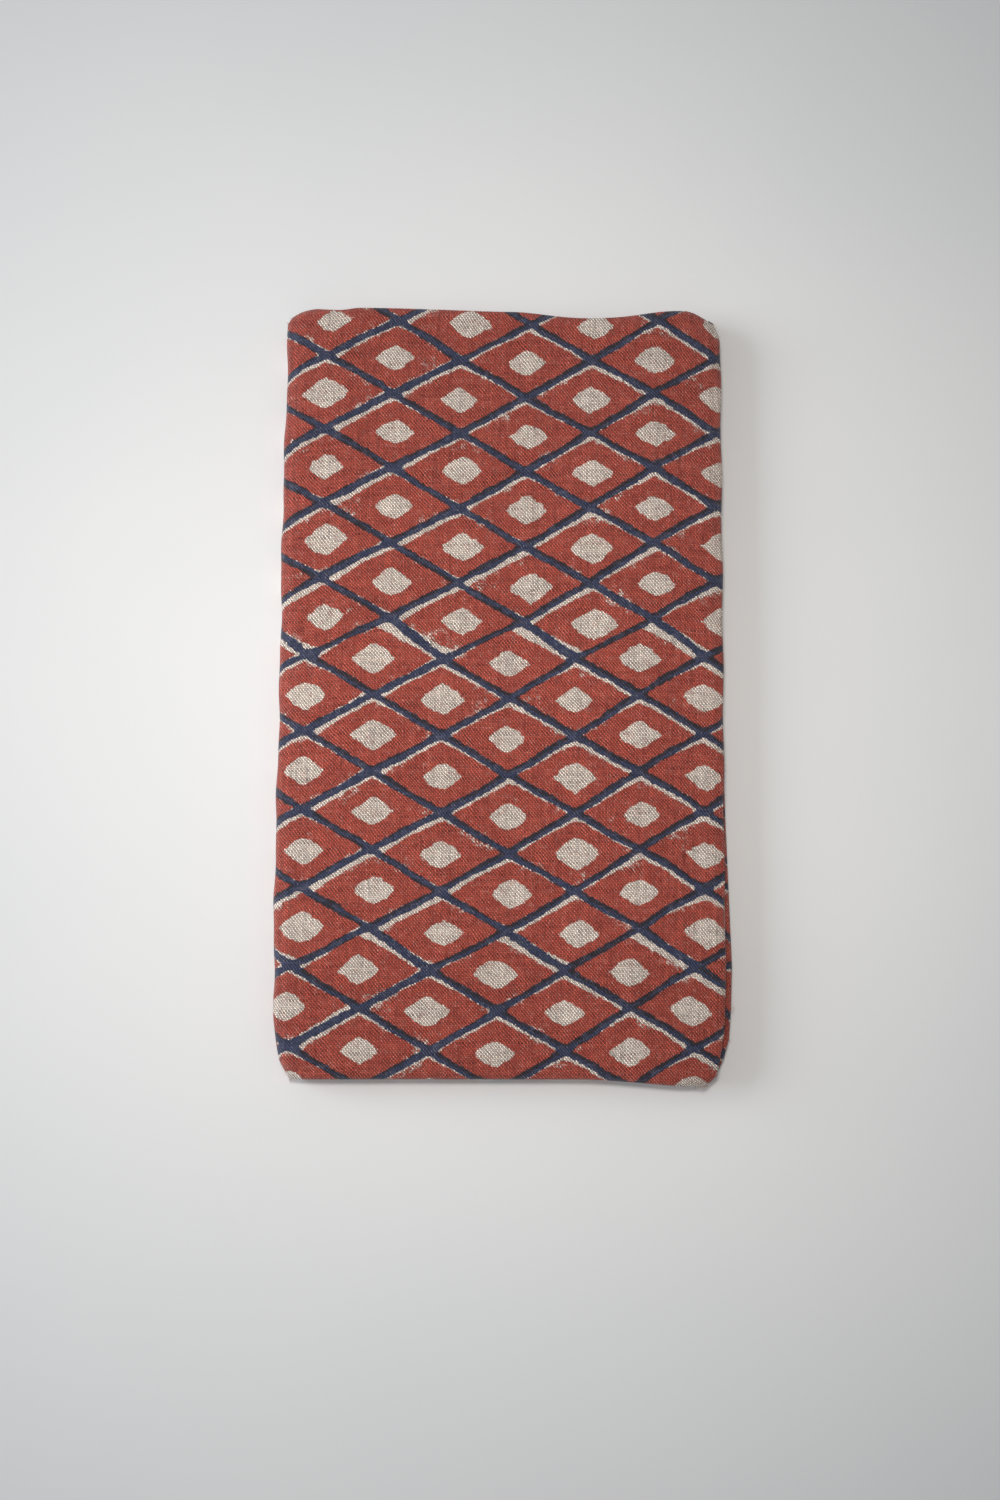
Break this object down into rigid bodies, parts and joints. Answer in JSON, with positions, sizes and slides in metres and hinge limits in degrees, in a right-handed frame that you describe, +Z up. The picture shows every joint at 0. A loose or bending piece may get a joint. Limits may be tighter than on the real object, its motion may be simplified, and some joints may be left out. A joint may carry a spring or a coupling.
{
  "type": "folded table runner",
  "caption": "Long cotton table runner with a block-printed trellis of lozenges, folded back and forth and then in half into a flat package.",
  "frame": {"origin": "middle of the package's box, on the surface that it rests on", "axes": "+Z up through the layers, +Y along the package to its far end, +X from the rounded spine to the open side"},
  "size_m": [0.1804, 0.3143, 0.0158],
  "materials": {
    "printed_cloth": "matte plain weave, printed in brick red and dark blue on a natural ground"
  },
  "bodies": {
    "root": {"runner": "printed_cloth"}
  },
  "joints": []
}
